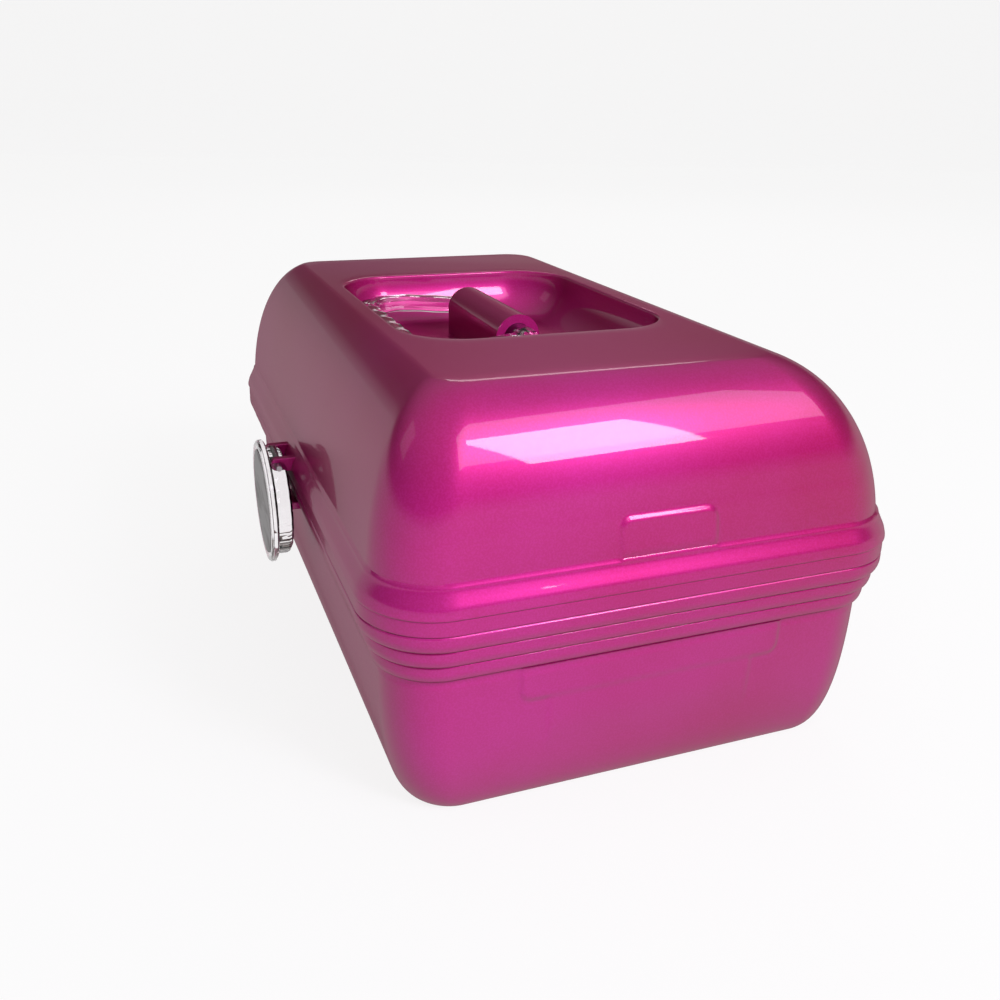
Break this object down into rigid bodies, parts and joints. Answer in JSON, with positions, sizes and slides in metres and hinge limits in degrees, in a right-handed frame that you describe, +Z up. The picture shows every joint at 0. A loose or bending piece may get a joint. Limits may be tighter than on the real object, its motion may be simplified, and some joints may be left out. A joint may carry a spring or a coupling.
{
  "type": "cosmetic case",
  "caption": "Hard-shell cosmetic case with a domed hinged lid, round clear latch, fold-down clear handle in a recessed top, mirror and lifting trays.",
  "frame": {"origin": "middle of the flat underside, which stands on a table or shelf", "axes": "+X along the case's length, -Y to the front with the latch, +Z up"},
  "size_m": [0.338, 0.2371, 0.162],
  "materials": {
    "pearl_shell": "glossy moulded plastic with a fine pearl lustre",
    "clear_plastic": "clear moulded plastic",
    "latch_face": "smooth dark disc",
    "tray_plastic": "smooth moulded plastic",
    "arm_plastic": "smooth moulded plastic",
    "steel": "plain steel",
    "mirror": "silvered"
  },
  "bodies": {
    "base": {"base_shell": "pearl_shell", "hinge_pin_left": "steel", "hinge_pin_right": "steel", "base_pivot_rivets": "steel"},
    "lid": {"lid_shell": "pearl_shell", "handle_barrel_cap": "pearl_shell", "handle_screws": "steel", "latch_pin": "steel", "mirror_frame": "tray_plastic", "mirror_glass": "mirror", "lid_link_rivets": "steel"},
    "handle": {"handle_loop": "clear_plastic"},
    "latch": {"latch_body": "clear_plastic", "latch_face": "latch_face"},
    "rear_arm_left": {"rear_arm_left": "arm_plastic"},
    "rear_arm_right": {"rear_arm_right": "arm_plastic"},
    "front_arm_left": {"front_arm_left": "arm_plastic"},
    "front_arm_right": {"front_arm_right": "arm_plastic"},
    "drive_link_left": {"drive_link_left": "arm_plastic"},
    "drive_link_right": {"drive_link_right": "arm_plastic"},
    "lower_tray": {"lower_tray": "tray_plastic", "lower_tray_rivets": "steel"},
    "upper_tray": {"upper_tray": "tray_plastic", "upper_tray_rivets": "steel"}
  },
  "joints": [
    {"name": "lid_hinge", "type": "hinge", "parent": "base", "child": "lid", "pos_m": [0, 0.1107, 0.0835], "axis": [-1, 0, 0], "range_deg": [0, 100]},
    {"name": "handle_swing", "type": "hinge", "parent": "lid", "child": "handle", "pos_m": [0, -0.009, 0.1512], "axis": [-1, 0, 0], "range_deg": [0, 180]},
    {"name": "latch_flip", "type": "hinge", "parent": "lid", "child": "latch", "pos_m": [0, -0.1164, 0.0935], "axis": [-1, 0, 0], "range_deg": [0, 75]},
    {"name": "rear_arm_left_pivot", "type": "hinge", "parent": "base", "child": "rear_arm_left", "pos_m": [-0.15405, 0.062, 0.07], "axis": [-1, 0, 0], "range_deg": [0, 100]},
    {"name": "front_arm_left_pivot", "type": "hinge", "parent": "base", "child": "front_arm_left", "pos_m": [-0.15405, -0.012, 0.07], "axis": [-1, 0, 0], "range_deg": [0, 100]},
    {"name": "drive_link_left_pivot", "type": "hinge", "parent": "rear_arm_left", "child": "drive_link_left", "pos_m": [-0.15125, 0.00422, 0.07505], "axis": [-1, 0, 0], "range_deg": [-100, 0]},
    {"name": "rear_arm_right_pivot", "type": "hinge", "parent": "base", "child": "rear_arm_right", "pos_m": [0.15405, 0.062, 0.07], "axis": [-1, 0, 0], "range_deg": [0, 100]},
    {"name": "front_arm_right_pivot", "type": "hinge", "parent": "base", "child": "front_arm_right", "pos_m": [0.15405, -0.012, 0.07], "axis": [-1, 0, 0], "range_deg": [0, 100]},
    {"name": "drive_link_right_pivot", "type": "hinge", "parent": "rear_arm_right", "child": "drive_link_right", "pos_m": [0.15125, 0.00422, 0.07505], "axis": [-1, 0, 0], "range_deg": [-100, 0]},
    {"name": "lower_tray_pivot", "type": "hinge", "parent": "rear_arm_left", "child": "lower_tray", "pos_m": [-0.15405, 0.03193, 0.05906], "axis": [-1, 0, 0], "range_deg": [-100, 0]},
    {"name": "upper_tray_pivot", "type": "hinge", "parent": "rear_arm_left", "child": "upper_tray", "pos_m": [-0.15405, 0.00422, 0.07505], "axis": [-1, 0, 0], "range_deg": [-100, 0]}
  ],
  "couplings": [
    {"joint": "rear_arm_left_pivot", "follows": "lid_hinge", "ratio": 1},
    {"joint": "front_arm_left_pivot", "follows": "lid_hinge", "ratio": 1},
    {"joint": "drive_link_left_pivot", "follows": "lid_hinge", "ratio": -1},
    {"joint": "rear_arm_right_pivot", "follows": "lid_hinge", "ratio": 1},
    {"joint": "front_arm_right_pivot", "follows": "lid_hinge", "ratio": 1},
    {"joint": "drive_link_right_pivot", "follows": "lid_hinge", "ratio": -1},
    {"joint": "lower_tray_pivot", "follows": "lid_hinge", "ratio": -1},
    {"joint": "upper_tray_pivot", "follows": "lid_hinge", "ratio": -1}
  ]
}
